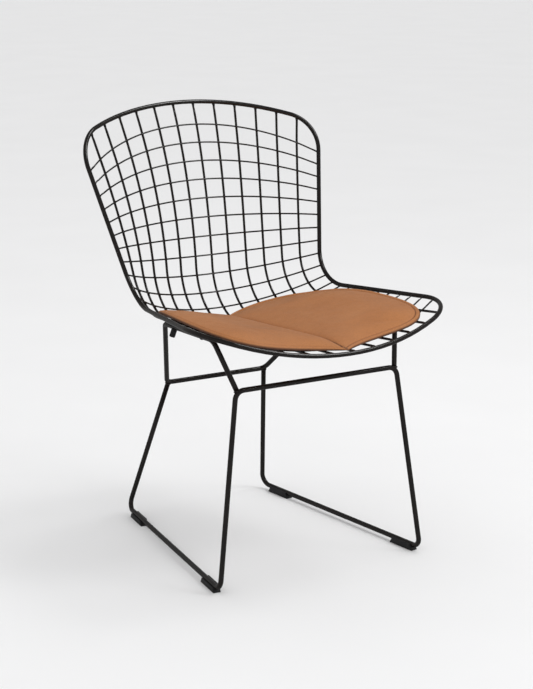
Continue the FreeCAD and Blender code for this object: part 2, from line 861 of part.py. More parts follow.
# Lines of the pad, from the crease out to the side. Each has its share of the width of the
# shell, the stations of its back and front ends, its height in the middle and at its ends,
# and how far it is drawn up from the wires.
PAD_LINES = [
    (0.0, 12.15, 23.15, 12.5, 9.0, 0.0),
    (0.05, 11.8, 23.1, 17.0, 9.0, 0.0),
    (0.22, 11.4, 22.8, 19.5, 9.0, 0.0),
    (0.5, 11.5, 22.7, 18.5, 9.0, 0.0),
    (0.76, 11.9, 22.1, 13.5, 9.0, 0.0),
    (0.88, 13.3, 19.9, 9.5, 7.0, 0.7),
    (0.925, 15.6, 17.9, 3.5, 3.0, 3.0),
]
# Places of the joints of a pad line, closer together in the hollow at the back
PAD_STEPS = [0.0, 0.05, 0.1, 0.165, 0.24, 0.35, 0.5, 0.75, 1.0]


def edge_through(start, middle, end):
    """Arc through three points, or a line where they are in a row."""
    off_line = (middle - start).cross(end - start).Length / (end - start).Length
    if off_line < 0.001:
        return line_edge(start, end)
    return Part.Arc(start, middle, end).toShape()


def arcs_through(points):
    """Edges through points, three points to an edge."""
    return [edge_through(*points[k:k + 3]) for k in range(0, len(points) - 2, 2)]


def lines_through(points):
    return [line_edge(*points[k:k + 2]) for k in range(len(points) - 1)]


def pad_points(share, back, front, middle_height, end_height, drawn_up):
    """Points along the underside and the top of one line of the pad, from back to front."""
    lowest = cross_lift + cross_radius + size("pad_clearance") + drawn_up
    under = []
    over = []
    for step in PAD_STEPS:
        station = back + (front - back) * step
        crown = 1 - abs(2 * step - 1) ** 3
        height = end_height + (middle_height - end_height) * crown
        under.append(lifted_point(share, station, lowest))
        over.append(lifted_point(share, station, lowest + height))
    return under, over


def edge_arc(start, end, inside):
    """Rounded edge between the underside and the top, bulging away from a point inside."""
    centre = (start + end) * 0.5
    upright = direction(start, end)
    outward = centre - inside
    outward = (outward - upright * outward.dot(upright)).normalize()
    bulge = size("pad_edge_bulge") * (end - start).Length / size("pad_edge_height")
    return Part.Arc(start, centre + outward * bulge, end).toShape()


def flattened(points, origin, normal):
    return [point - normal * (point - origin).dot(normal) for point in points]


def pad_section(line):
    under, over = pad_points(*line)
    if line == PAD_LINES[-1]:
        normal = (under[4] - under[0]).cross(over[4] - under[4]).normalize()
        under, over = [flattened(points, under[4], normal) for points in (under, over)]
    front = edge_arc(under[-1], over[-1], (under[4] + over[4]) * 0.5)
    back = edge_arc(over[0], under[0], (under[4] + over[4]) * 0.5)
    edges = lines_through(under) + [front] + arcs_through(over[::-1]) + [back]
    return Part.Wire(edges)


def make_pad():
    sections = []
    for number, line in enumerate(PAD_LINES, start=1):
        section = doc.addObject("Part::Feature", "pad_section_%d" % number)
        section.Shape = pad_section(line)
        sections.append(section)
    flank = doc.addObject("Part::Loft", "pad_flank")
    flank.Sections = sections
    flank.Solid = True
    flank.Ruled = True
    return keep("seat_pad", fuse("seat_pad", [flank, mirror_copy("pad_other_flank", flank)]))


# The whole chair

make_rim()
make_cross_wires()
make_long_wires()
make_lower_frame()
make_upper_frame(make_clips())
make_glides()
make_pad()
doc.recompute()

for piece in doc.Objects:
    if "Invalid" in piece.State or "Error" in piece.State:
        raise RuntimeError("%s was not made: %s" % (piece.Label, piece.State))
for piece in nodes:
    if piece.Shape.isNull() or not piece.Shape.isValid():
        raise RuntimeError("%s has no valid shape" % piece.Label)

os.makedirs("parts", exist_ok=True)
for piece in nodes:
    piece.Shape.exportStep("parts/%s.step" % piece.Label)
    print("%-22s %d solids %10.0f mm3" % (piece.Label, len(piece.Shape.Solids), piece.Shape.Volume))
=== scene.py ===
import math
import random

import bmesh
import bpy
from mathutils import Matrix, Vector
from mathutils.bvhtree import BVHTree
from mathutils.geometry import interpolate_bezier
from mathutils.kdtree import KDTree


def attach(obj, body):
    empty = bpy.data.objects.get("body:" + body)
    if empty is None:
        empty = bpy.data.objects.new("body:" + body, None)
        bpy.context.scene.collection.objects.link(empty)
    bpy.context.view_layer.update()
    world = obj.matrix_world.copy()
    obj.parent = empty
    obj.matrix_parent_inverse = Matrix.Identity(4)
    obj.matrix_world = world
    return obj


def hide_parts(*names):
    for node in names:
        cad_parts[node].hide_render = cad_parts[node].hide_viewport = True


# Wire mesh chair: a welded wire shell on a bent rod base, with a leather seat pad.
# Metres. The front of the chair faces -Y, +Z is up and the floor is Z = 0.

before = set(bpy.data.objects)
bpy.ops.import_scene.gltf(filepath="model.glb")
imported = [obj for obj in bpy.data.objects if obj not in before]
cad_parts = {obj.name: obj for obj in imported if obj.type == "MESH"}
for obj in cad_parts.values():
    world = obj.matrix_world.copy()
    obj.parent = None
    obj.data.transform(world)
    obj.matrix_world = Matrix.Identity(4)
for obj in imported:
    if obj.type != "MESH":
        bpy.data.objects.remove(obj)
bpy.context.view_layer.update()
MM = 0.001

# Sizes of the steel
RIM_RADIUS = 4.0 * MM
LONG_WIRE_RADIUS = 2.25 * MM
CROSS_WIRE_RADIUS = 1.5 * MM
BASE_ROD_RADIUS = 4.5 * MM
BASE_BEND_RADIUS = 17.0 * MM
LONG_WIRES_EACH_SIDE = 6
CROSS_WIRES = 22

# Corners of the rim on the +X side, and the distances from them at which their bends start
TOP_CENTRE = Vector((0, 0.2936, 0.779))
SHOULDER = Vector((0.254, 0.2161, 0.734))
WAIST = Vector((0.194, 0.1111, 0.4435))
FRONT_CORNER = Vector((0.2575, -0.2374, 0.467))
FRONT_CENTRE = Vector((0, -0.2939, 0.4165))
SHOULDER_SETBACK = 56 * MM
WAIST_SETBACK = 65 * MM
FRONT_SETBACK = 74 * MM

# Corners of the base on the +X side
FRONT_FOOT = Vector((0.207, -0.2159, 0.010))
REAR_FOOT = Vector((0.1495, 0.2521, 0.010))
FRONT_BAR = Vector((0.1625, -0.1939, 0.350))
REAR_BAR = Vector((0.1055, 0.1696, 0.273))
RAIL_FRONT = Vector((0.1846, -0.1560, 0.4329))
RAIL_REAR = Vector((0.1725, 0.0430, 0.4197))

# The point that the hollow of the shell faces
SITTER = Vector((0, -0.03, 0.70))


# Materials

GRAIN_DEPTH = 0.22 * MM


def new_material(name):
    material = bpy.data.materials.new(name)
    material.use_nodes = True
    nodes = material.node_tree.nodes
    nodes.clear()
    output = nodes.new("ShaderNodeOutputMaterial")
    shader = nodes.new("ShaderNodeBsdfPrincipled")
    material.node_tree.links.new(shader.outputs["BSDF"], output.inputs["Surface"])
    return material, shader


class Nodes:
    """Short ways to add and join the nodes of one material."""

    def __init__(self, material):
        self.tree = material.node_tree

    def add(self, kind, **values):
        node = self.tree.nodes.new(kind)
        for name, value in values.items():
            if name in node.inputs:
                node.inputs[name].default_value = value
            else:
                setattr(node, name, value)
        return node

    def join(self, output, socket):
        self.tree.links.new(output, socket)

    def place(self):
        return self.add("ShaderNodeTexCoord").outputs["Object"]

    def noise(self, scale, detail=3.0, roughness=0.5):
        node = self.add("ShaderNodeTexNoise", Scale=scale, Detail=detail, Roughness=roughness)
        self.join(self.place(), node.inputs["Vector"])
        return node.outputs["Fac"]

    def cells(self, scale):
        node = self.add("ShaderNodeTexVoronoi", Scale=scale)
        self.join(self.place(), node.inputs["Vector"])
        return node.outputs["Distance"]

    def ranged(self, value, low, high, from_low=0.3, from_high=0.7):
        node = self.add("ShaderNodeMapRange")
        node.inputs["From Min"].default_value = from_low
        node.inputs["From Max"].default_value = from_high
        node.inputs["To Min"].default_value = low
        node.inputs["To Max"].default_value = high
        self.join(value, node.inputs["Value"])
        return node.outputs["Result"]

    def blended(self, share, first, second):
        """Colour between two colours, or between a colour and another blend."""
        node = self.add("ShaderNodeMix", data_type="RGBA")
        self.join(share, node.inputs["Factor"])
        for socket, colour in (("A", first), ("B", second)):
            target = [s for s in node.inputs if s.name == socket and s.type == "RGBA"][0]
            if isinstance(colour, tuple):
                target.default_value = colour + (1.0,)
            else:
                self.join(colour, target)
        return [s for s in node.outputs if s.type == "RGBA"][0]

    def summed(self, first, second, share):
        """The first value and a share of the second."""
        node = self.add("ShaderNodeMath", operation="MULTIPLY_ADD")
        self.join(second, node.inputs[0])
        node.inputs[1].default_value = share
        self.join(first, node.inputs[2])
        return node.outputs[0]

    def painted(self, name):
        """Value of an attribute of the mesh."""
        node = self.add("ShaderNodeAttribute")
        node.attribute_name = name
        return node.outputs["Fac"]

    def bump(self, height, distance, strength):
        node = self.add("ShaderNodeBump", Strength=strength, Distance=distance)
        self.join(height, node.inputs["Height"])
        return node.outputs["Normal"]


def bronze_enamel(name, roughness):
    """Near black bronze enamel over steel: faint mottle, fine orange peel."""
    material, shader = new_material(name)
    nodes = Nodes(material)
    mottle = nodes.ranged(nodes.noise(38.0, 4.0), 0.0, 1.0)
    colour = nodes.blended(mottle, (0.0050, 0.0036, 0.0030), (0.0095, 0.0068, 0.0055))
    nodes.join(colour, shader.inputs["Base Color"])
    worn = nodes.ranged(nodes.noise(60.0, 2.0), roughness - 0.02, roughness + 0.04)
    nodes.join(worn, shader.inputs["Roughness"])
    shader.inputs["Specular IOR Level"].default_value = 0.6
    peel = nodes.bump(nodes.noise(300.0, 1.0), 0.00002, 0.1)
    nodes.join(peel, shader.inputs["Normal"])
    return material


def black_plastic(name):
    """Moulded black nylon: fine spark texture and paler scuffs."""
    material, shader = new_material(name)
    nodes = Nodes(material)
    scuffs = nodes.ranged(nodes.noise(120.0, 5.0, 0.65), 0.0, 1.0, 0.5, 0.8)
    colour = nodes.blended(scuffs, (0.011, 0.011, 0.012), (0.032, 0.031, 0.030))
    nodes.join(colour, shader.inputs["Base Color"])
    nodes.join(nodes.ranged(scuffs, 0.46, 0.62, 0.0, 1.0), shader.inputs["Roughness"])
    grain = nodes.bump(nodes.noise(1500.0, 2.0), 0.00005, 0.6)
    nodes.join(grain, shader.inputs["Normal"])
    return material


def zinc_steel(name):
    """Zinc plated screw: pale grey with darker blotches and a fine grain."""
    material, shader = new_material(name)
    nodes = Nodes(material)
    blotch = nodes.ranged(nodes.noise(300.0, 4.0), 0.0, 1.0)
    colour = nodes.blended(blotch, (0.30, 0.30, 0.31), (0.52, 0.52, 0.53))
    nodes.join(colour, shader.inputs["Base Color"])
    nodes.join(nodes.ranged(blotch, 0.28, 0.42, 0.0, 1.0), shader.inputs["Roughness"])
    shader.inputs["Metallic"].default_value = 1.0
    nodes.join(nodes.bump(nodes.noise(1800.0, 1.0), 0.00003, 0.5), shader.inputs["Normal"])
    return material


def leather(name, pale, deep, pore_and_shade_brown):
    """Tan leather: cell grain, soft blotches and darker pores, with painted shade in the seam
    and crease grooves, on the side wall and on the underside.
    """
    material, shader = new_material(name)
    nodes = Nodes(material)
    blotch = nodes.ranged(nodes.noise(9.0, 4.0, 0.55), 0.0, 1.0)
    colour = nodes.blended(blotch, deep, pale)
    cells = nodes.cells(620.0)
    pores = nodes.ranged(cells, 0.0, 0.22, 0.25, 0.75)
    colour = nodes.blended(pores, colour, pore_and_shade_brown)
    # Painted shade: the seam attribute darkens the seam groove and the crease, and the side
    # attribute darkens the side wall and the underside.
    colour = nodes.blended(nodes.painted("seam"), colour, pore_and_shade_brown)
    colour = nodes.blended(nodes.painted("side"), colour, pore_and_shade_brown)
    nodes.join(colour, shader.inputs["Base Color"])
    nodes.join(nodes.ranged(nodes.noise(60.0, 3.0), 0.50, 0.64), shader.inputs["Roughness"])
    shader.inputs["Specular IOR Level"].default_value = 0.25
    shader.inputs["Sheen Weight"].default_value = 0.02
    shader.inputs["Sheen Roughness"].default_value = 0.5
    creases = nodes.summed(cells, nodes.noise(90.0, 5.0, 0.6), 0.8)
    nodes.join(nodes.bump(creases, GRAIN_DEPTH, 0.55), shader.inputs["Normal"])
    return material


def thread(name, pale, deep):
    """Waxed sewing thread with uneven strands."""
    material, shader = new_material(name)
    nodes = Nodes(material)
    strands = nodes.ranged(nodes.noise(2500.0, 1.0), 0.0, 1.0)
    nodes.join(nodes.blended(strands, deep, pale), shader.inputs["Base Color"])
    shader.inputs["Roughness"].default_value = 0.6
    nodes.join(nodes.bump(strands, 0.0001, 0.8), shader.inputs["Normal"])
    return material


WIRE_ROUGHNESS = 0.16
BASE_ROUGHNESS = 0.19
TAN_PALE = (0.528, 0.215, 0.074)
TAN_DEEP = (0.444, 0.172, 0.057)
# Dark brown of the leather's pores, and of the painted shade in the grooves, on the side wall
# and on the underside
BROWN_DARK = (0.095, 0.040, 0.022)
THREAD_PALE = (0.20, 0.085, 0.040)
THREAD_DEEP = (0.11, 0.045, 0.022)

enamel = bronze_enamel("dark_bronze_enamel", WIRE_ROUGHNESS)
base_enamel = bronze_enamel("dark_bronze_enamel_base", BASE_ROUGHNESS)
nylon = black_plastic("black_nylon")
zinc = zinc_steel("zinc_plate")
pad_leather = leather("tan_leather", TAN_PALE, TAN_DEEP, BROWN_DARK)
seam_thread = thread("brown_thread", THREAD_PALE, THREAD_DEEP)


# Finishing of pieces

def finished(bm, name, material, smooth=True):
    """Object at the origin from a bmesh, with its place in its mesh."""
    mesh = bpy.data.meshes.new(name)
    bm.to_mesh(mesh)
    bm.free()
    if smooth:
        mesh.polygons.foreach_set("use_smooth", [True] * len(mesh.polygons))
    piece = bpy.data.objects.new(name, mesh)
    bpy.context.collection.objects.link(piece)
    mesh.materials.append(material)
    return piece


def seated(piece, slot, *nodes):
    """The piece rides on the chair and stands for its CAD nodes, if it has any."""
    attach(piece, "root")
    if nodes:
        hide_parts(*nodes)


# Routes of rods

BEND_STEP = math.radians(6)
RIM_BEND_STEP = math.radians(3)
FINE_BEND_STEP = math.radians(1)
REPEAT_GAP = 0.2 * MM
RING_CORNERS = 6
ROUTE_STEP = 7 * MM


def bend(before, corner, after, setback, step=BEND_STEP):
    """Points of the arc that rounds a corner and starts at a distance from it."""
    start = corner + (before - corner).normalized() * setback
    end = corner + (after - corner).normalized() * setback
    inward = (start - corner).normalized()
    outward = (end - corner).normalized()
    turn = math.pi - inward.angle(outward)
    axis = (-inward).cross(outward).normalized()
    radius = setback / math.tan(turn / 2)
    centre = start + axis.cross(-inward) * radius
    count = max(2, math.ceil(turn / step))
    return [centre + Matrix.Rotation(turn * k / count, 3, axis) @ (start - centre)
            for k in range(count + 1)]


def setback_of(before, corner, after, radius):
    turn = math.pi - (before - corner).angle(after - corner)
    return radius * math.tan(turn / 2)


def mirrored(point):
    return Vector((-point.x, point.y, point.z))


def crown_corner(centre, corner, setback):
    """Corner of the wide arc that leaves the middle plane level and points at a corner."""
    across = corner - centre
    level = across.y ** 2 + across.z ** 2
    knee = (across.x ** 2 + level - setback ** 2) / (2 * (across.x + setback))
    return centre + Vector((knee, 0, 0)), knee


def without_repeats(points):
    """The points, less each that lies on the one before it."""
    kept = points[:1]
    for point in points[1:]:
        if (point - kept[-1]).length > REPEAT_GAP:
            kept.append(point)
    return kept


def rim_route():
    """Closed route of the rim, from the middle of the top round by +X and back."""
    top_knee, top_setback = crown_corner(TOP_CENTRE, SHOULDER, SHOULDER_SETBACK)
    front_knee, front_setback = crown_corner(FRONT_CENTRE, FRONT_CORNER, FRONT_SETBACK)
    corners = [(top_knee, top_setback), (SHOULDER, SHOULDER_SETBACK), (WAIST, WAIST_SETBACK),
               (FRONT_CORNER, FRONT_SETBACK), (front_knee, front_setback)]
    around = [TOP_CENTRE] + [corner for corner, _ in corners] + [FRONT_CENTRE]
    half = []
    for k, (corner, setback) in enumerate(corners, start=1):
        half += bend(around[k - 1], corner, around[k + 1], setback, RIM_BEND_STEP)
    half = without_repeats(half)
    return half + [mirrored(point) for point in reversed(half[1:-1])]


def bent_route(corners, radius):
    """Route from the first point to the last, with a bend at each corner between."""
    route = [corners[0]]
    for before, corner, after in zip(corners, corners[1:], corners[2:]):
        route += bend(before, corner, after, setback_of(before, corner, after, radius))
    return route + [corners[-1]]


def ring_places(node, key):
    """Knees of a faceted wire, from the corners of its rings sorted along the wire."""
    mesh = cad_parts[node].data
    places = sorted({tuple(round(c, 6) for c in vertex.co) for vertex in mesh.vertices}, key=key)
    rings = [places[k:k + RING_CORNERS] for k in range(0, len(places), RING_CORNERS)]
    return [sum((Vector(place) for place in ring), Vector()) / RING_CORNERS for ring in rings]


def across_chair(place):
    return place[0]


def around_sitter(place):
    return -math.atan2(place[2] - SITTER.z, place[1] - SITTER.y)


def smooth_route(knees, step=ROUTE_STEP, per_span=None):
    """Smooth curve through some knees, with points about a step apart or some to a span."""
    spans = [(b - a).length for a, b in zip(knees, knees[1:])]
    slopes = []
    for k in range(len(knees)):
        if k == 0:
            slopes.append((knees[1] - knees[0]) / spans[0])
        elif k == len(knees) - 1:
            slopes.append((knees[k] - knees[k - 1]) / spans[k - 1])
        else:
            before = (knees[k] - knees[k - 1]) / spans[k - 1]
            after = (knees[k + 1] - knees[k]) / spans[k]
            share = spans[k - 1] / (spans[k - 1] + spans[k])
            slopes.append(before * (1 - share) + after * share)
    route = [knees[0]]
    for k, span in enumerate(spans):
        handle = span / 3
        count = per_span + 1 if per_span else max(2, round(span / step) + 1)
        route += interpolate_bezier(knees[k], knees[k] + slopes[k] * handle,
                                    knees[k + 1] - slopes[k + 1] * handle, knees[k + 1],
                                    count)[1:]
    return route


# Rods

RIM_SIDES = 20
BASE_ROD_SIDES = 24
LONG_WIRE_SIDES = 14
CROSS_WIRE_SIDES = 12
THREAD_SIDES = 6
RIM_PITCH = 1 * MM


def added(bm, part):
    """Adds a finished part to a larger mesh."""
    scratch = bpy.data.meshes.new("scratch")
    part.to_mesh(scratch)
    part.free()
    bm.from_mesh(scratch)
    bpy.data.meshes.remove(scratch)


def drawn_rod(bm, route, radius, sides, closed=False, swell=None):
    """Round rod: a circle pulled from point to point of the route.
    swell gives the size of the rod at each point of the route."""
    part = bmesh.new()
    count = len(route)
    sizes = swell or [1.0] * count
    runs = [(route[(k + 1) % count] - route[k]).normalized() for k in range(count)]
    heading = (runs[0] + runs[-1]).normalized() if closed else runs[0]
    place = Matrix.Translation(route[0]) @ heading.to_track_quat("Z", "Y").to_matrix().to_4x4()
    ring = bmesh.ops.create_circle(part, segments=sides, radius=radius * sizes[0],
                                   matrix=place)["verts"]
    first_edges = list({edge for vertex in ring for edge in vertex.link_edges})
    edges = first_edges
    for k in range(1, count):
        last = k + 1 == count and not closed
        onward = runs[k - 1] if last else (runs[k - 1] + runs[k]).normalized()
        turn = heading.rotation_difference(onward).to_matrix().to_4x4()
        move = (Matrix.Translation(route[k]) @ turn @ Matrix.Scale(sizes[k] / sizes[k - 1], 4)
                @ Matrix.Translation(-route[k - 1]))
        pulled = bmesh.ops.extrude_edge_only(part, edges=edges)["geom"]
        edges = [item for item in pulled if isinstance(item, bmesh.types.BMEdge)]
        for item in pulled:
            if isinstance(item, bmesh.types.BMVert):
                item.co = move @ item.co
        heading = onward
    if closed:
        bmesh.ops.bridge_loops(part, edges=first_edges + edges)
    else:
        for loop in (first_edges, edges):
            bmesh.ops.contextual_create(part, geom=loop)
    bmesh.ops.recalc_face_normals(part, faces=part.faces)
    added(bm, part)


# Weld fillet at the end of a wire, from inside the rim to where it runs out:
# places as shares of its reach, and sizes as shares of the radius of the wire
WELD_DEPTH = 1.6 * MM
FILLET_REACH = 2.2
FILLET_PLACES = [0.0, 0.35, 0.7, 1.0]
FILLET_SIZES = [1.1, 1.4, 1.14, 1.04, 1.0]
FILLET_CLEARANCE = 1.15
# How far into the rim the end of a wire is moved, as a share of the way to its core
PRESSED_SHARE = 0.4
# A fillet nearer to the core of the rim than the zone stands no further out than the hold
WELD_ZONE = 2.5 * RIM_RADIUS
WELD_HOLD = 0.9 * RIM_RADIUS
# Forward of the start, nothing shows below the underside of the front rim
FRONT_RIM_START = FRONT_CORNER.y * 0.7
FRONT_RIM_UNDERSIDE = 0.95 * RIM_RADIUS


def flared(route, reach):
    """The route run on into the steel at both ends, with the sizes of a weld fillet at each."""
    distances = [-WELD_DEPTH] + [share * reach for share in FILLET_PLACES]
    ends = []
    for end, inner in ((route[0], route[1]), (route[-1], route[-2])):
        heading = (inner - end).normalized()
        ends.append([end + heading * distance for distance in distances])
    clear = FILLET_CLEARANCE * reach
    kept = [point for point in route[1:-1]
            if min((point - route[0]).length, (point - route[-1]).length) > clear]
    new_route = ends[0] + kept + ends[1][::-1]
    return new_route, FILLET_SIZES + [1.0] * len(kept) + FILLET_SIZES[::-1]


def even_points(line, pitch, closed):
    """Points along a line, a pitch apart."""
    points = line + line[:1] if closed else line
    spots = []
    left = 0.0
    for start, end in zip(points, points[1:]):
        span = (end - start).length
        while left < span:
            spots.append(start.lerp(end, left / span))
            left += pitch
        left -= span
    return spots


def point_tree(points):
    tree = KDTree(len(points))
    for k, point in enumerate(points):
        tree.insert(point, k)
    tree.balance()
    return tree


def held_in_rim(bm, rim_points, middle):
    """Draws what a weld fillet shows beyond, above or below the rim back into it."""
    for vertex in bm.verts:
        core, _, distance = rim_points.find(vertex.co)
        out = vertex.co - core
        beyond = out.dot(core - middle) > 0
        if beyond and WELD_HOLD < distance < WELD_ZONE:
            vertex.co = core + out * (WELD_HOLD / distance)
            out = vertex.co - core
        if distance < WELD_ZONE:
            toward = (SITTER - core).normalized()
            rise = out.dot(toward)
            if abs(rise) > WELD_HOLD:
                vertex.co -= toward * (rise - math.copysign(WELD_HOLD, rise))
            if core.y < FRONT_RIM_START:
                vertex.co.z = max(vertex.co.z, core.z - FRONT_RIM_UNDERSIDE)


def make_rim():
    bm = bmesh.new()
    drawn_rod(bm, rim_route(), RIM_RADIUS, RIM_SIDES, closed=True)
    seated(finished(bm, "rim_rod", enamel), "shell_wire_finish", "rim")


def pressed_to_rim(knees, rim_points):
    """The knees of a wire with both ends moved into the rim, as the weld holds them."""
    for end in (0, -1):
        knees[end] = knees[end].lerp(rim_points.find(knees[end])[0], PRESSED_SHARE)
    return knees


def make_wire(node, key, radius, sides, rim_points):
    route = smooth_route(pressed_to_rim(ring_places(node, key), rim_points))
    middle = route[len(route) // 2]
    route, swell = flared(route, FILLET_REACH * radius)
    bm = bmesh.new()
    drawn_rod(bm, route, radius, sides, swell=swell)
    held_in_rim(bm, rim_points, middle)
    seated(finished(bm, node + "_rod", enamel), "shell_wire_finish", node)


def long_wire_names():
    return ["long_wire_%d_%s" % (number, side) for side in ("left", "right")
            for number in range(1, LONG_WIRES_EACH_SIDE + 1)]


def cross_wire_names():
    return ["cross_wire_%02d" % number for number in range(1, CROSS_WIRES + 1)]


# Beads where the wires cross: width and height as shares of the radius of a cross wire, the
# length as a share of the width, and how far a cross wire may be from the long wire
BEAD_WIDTHS = (1.25, 1.5)
BEAD_HEIGHT = 0.95
BEAD_LENGTH = 1.25
BEAD_SEARCH = 8 * MM


def make_crossing_welds():
    """A small flattened bead where each cross wire is welded to a long wire."""
    random.seed(4)
    tree = BVHTree.FromPolygons(*long_wire_surface())
    bm = bmesh.new()
    for name in cross_wire_names():
        knees = ring_places(name, across_chair)[1:-1]
        for k, knee in enumerate(knees):
            touch, normal, _, gap = tree.find_nearest(knee)
            if touch is None or gap > BEAD_SEARCH:
                continue
            along = (knees[min(k + 1, len(knees) - 1)] - knees[max(k - 1, 0)]).normalized()
            wide = CROSS_WIRE_RADIUS * random.uniform(*BEAD_WIDTHS)
            high = CROSS_WIRE_RADIUS * BEAD_HEIGHT
            shape = Matrix.Diagonal((wide * BEAD_LENGTH, wide, high, 1.0))
            across = normal.cross(along).normalized()
            along = across.cross(normal)
            turn = Matrix((along, across, normal)).transposed().to_4x4()
            bead = bmesh.new()
            bmesh.ops.create_icosphere(bead, subdivisions=2, radius=1.0,
                                       matrix=Matrix.Translation(touch) @ turn @ shape)
            added(bm, bead)
    seated(finished(bm, "crossing_welds", enamel), "shell_wire_finish")


def long_wire_surface():
    """Vertices and faces of the long wires, as one surface."""
    places = []
    faces = []
    for name in long_wire_names():
        mesh = bpy.data.objects[name + "_rod"].data
        first = len(places)
        places += [vertex.co.copy() for vertex in mesh.vertices]
        faces += [[first + index for index in face.vertices] for face in mesh.polygons]
    return places, faces


# The base

def bend_middle(before, corner, after):
    points = bend(before, corner, after, setback_of(before, corner, after, BASE_BEND_RADIUS),
                  FINE_BEND_STEP)
    return points[len(points) // 2]


def both_sides(points):
    return points + [mirrored(point) for point in reversed(points)]


def make_frame(name, node, points):
    route = bent_route(both_sides(points), BASE_BEND_RADIUS)
    bm = bmesh.new()
    drawn_rod(bm, route, BASE_ROD_RADIUS, BASE_ROD_SIDES)
    seated(finished(bm, name, base_enamel), "base_rod_finish", node)
    return route


def make_base():
    rear_weld = bend_middle(RAIL_REAR, REAR_BAR, mirrored(REAR_BAR))
    front_weld = bend_middle(FRONT_FOOT, FRONT_BAR, mirrored(FRONT_BAR))
    make_frame("lower_frame_rod", "lower_frame", [rear_weld, REAR_FOOT, FRONT_FOOT, FRONT_BAR])
    make_frame("upper_frame_rod", "upper_frame", [front_weld, RAIL_FRONT, RAIL_REAR, REAR_BAR])
    make_base_welds([(rear_weld, REAR_FOOT), (front_weld, RAIL_FRONT)])


# Beads of weld round the end of a base rod: how many, how large, and how far they are ahead
# of the end and out from the axis
BASE_BEADS_ROUND = 14
BASE_BEAD_RADII = (1.5 * MM, 1.9 * MM)
BASE_BEAD_AHEAD = BASE_ROD_RADIUS * 0.92
BASE_BEAD_OUT = BASE_ROD_RADIUS * 0.93


def make_base_welds(joints):
    """A run of weld round each rod end: a ring of overlapping beads."""
    random.seed(9)
    bm = bmesh.new()
    for weld, onward in joints:
        for sign in (1, -1):
            flip = Vector((sign, 1, 1))
            start = weld * flip
            heading = (onward * flip - start).normalized()
            turned = heading.to_track_quat("Z", "Y").to_matrix()
            for k in range(BASE_BEADS_ROUND):
                angle = 2 * math.pi * k / BASE_BEADS_ROUND
                out = turned @ Vector((math.cos(angle), math.sin(angle), 0))
                place = start + heading * BASE_BEAD_AHEAD + out * BASE_BEAD_OUT
                size = random.uniform(*BASE_BEAD_RADII)
                bead = bmesh.new()
                bmesh.ops.create_icosphere(bead, subdivisions=2, radius=size,
                                           matrix=Matrix.Translation(place))
                added(bm, bead)
    seated(finished(bm, "base_welds", base_enamel), "base_rod_finish")


# Moulded pieces and screws

# The front clips start at this distance along the rail. What stands lower than the reach
# under the rail is drawn up by the cut.
FRONT_CLIP_START = 120 * MM
FRONT_CAP_REACH = 7.5 * MM
FRONT_CAP_CUT = 13.0 * MM
# Rounding of the edges of the mouldings, and the angles that make an edge flat or sharp
GLIDE_EDGE = 0.7 * MM
CLIP_BLOCK_EDGE = 0.35 * MM
CLIP_CAP_EDGE = 0.3 * MM
CLIP_SCREW_EDGE = 0.15 * MM
FLAT_ANGLE = math.radians(1)
BEVEL_ANGLE = math.radians(38)
SOLID_GAP = 0.01 * MM
SHARP_ANGLE = math.radians(40)


def shortened(bm):
    """Draws the lower ends of the two front clips up against the rail, out of sight."""
    rail = (RAIL_FRONT - RAIL_REAR).normalized()
    for vertex in bm.verts:
        place = Vector((abs(vertex.co.x), vertex.co.y, vertex.co.z))
        along = (place - RAIL_REAR).dot(rail)
        off_rail = place - RAIL_REAR - rail * along
        if along > FRONT_CLIP_START and off_rail.z < -FRONT_CAP_REACH:
            down = Vector((off_rail.x * math.copysign(1, vertex.co.x), off_rail.y, off_rail.z))
            vertex.co -= down.normalized() * FRONT_CAP_CUT


def softened(node, name, slot, material, edge):
    """The CAD solid with its flat faces joined and its edges rounded."""
    bm = bmesh.new()
    bm.from_mesh(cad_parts[node].data)
    bmesh.ops.remove_doubles(bm, verts=bm.verts, dist=SOLID_GAP)
    if node in ("clip_caps", "clip_screws"):
        shortened(bm)
    bmesh.ops.dissolve_limit(bm, angle_limit=FLAT_ANGLE, verts=bm.verts, edges=bm.edges)
    sharp = [item for item in bm.edges
             if len(item.link_faces) == 2 and item.calc_face_angle() > BEVEL_ANGLE]
    bmesh.ops.bevel(bm, geom=sharp, offset=edge, segments=2, profile=0.5, affect="EDGES",
                    material=-1, clamp_overlap=True)
    piece = finished(bm, name, material, smooth=False)
    piece.data.set_sharp_from_angle(angle=SHARP_ANGLE)
    piece.data.polygons.foreach_set("use_smooth", [True] * len(piece.data.polygons))
    seated(piece, slot, node)


def make_mouldings():
    for end in ("front", "rear"):
        for side in ("left", "right"):
            name = "glide_%s_%s" % (end, side)
            softened(name, name + "_moulding", "moulded_plastic", nylon, GLIDE_EDGE)
    softened("clip_blocks", "clip_block_mouldings", "moulded_plastic", nylon, CLIP_BLOCK_EDGE)
    softened("clip_caps", "clip_cap_mouldings", "moulded_plastic", nylon, CLIP_CAP_EDGE)
    softened("clip_screws", "clip_screw_bodies", "screw_steel", zinc, CLIP_SCREW_EDGE)


# The seat pad

# Edge of the pad on the +X side, seen from above, from the notch at the back to the front tip
PAD_EDGE = [(0, 0.129), (0.023, 0.138), (0.058, 0.143), (0.099, 0.135), (0.133, 0.116),
            (0.160, 0.087), (0.180, 0.047), (0.193, 0.002), (0.201, -0.040), (0.205, -0.080),
            (0.207, -0.122), (0.206, -0.163), (0.201, -0.196), (0.190, -0.222), (0.174, -0.240),
            (0.152, -0.250), (0.125, -0.252), (0.095, -0.252), (0.060, -0.257), (0.028, -0.270),
            (0, -0.287)]
PAD_ROW_STEP = 4.5 * MM
# Columns between the crease and the border, closer together near the crease
PANEL_COLUMNS = 32
COLUMN_SPREAD = 1.5
# Loops of the border, as distances from the edge
BORDER_LOOPS = [14 * MM, 10 * MM, 7.6 * MM, 6.7 * MM, 6.0 * MM, 5.3 * MM, 4.4 * MM, 2.5 * MM,
                1.0 * MM, 0.0]
SEAM_LOOP = 4
SEAM_INSET = BORDER_LOOPS[SEAM_LOOP]
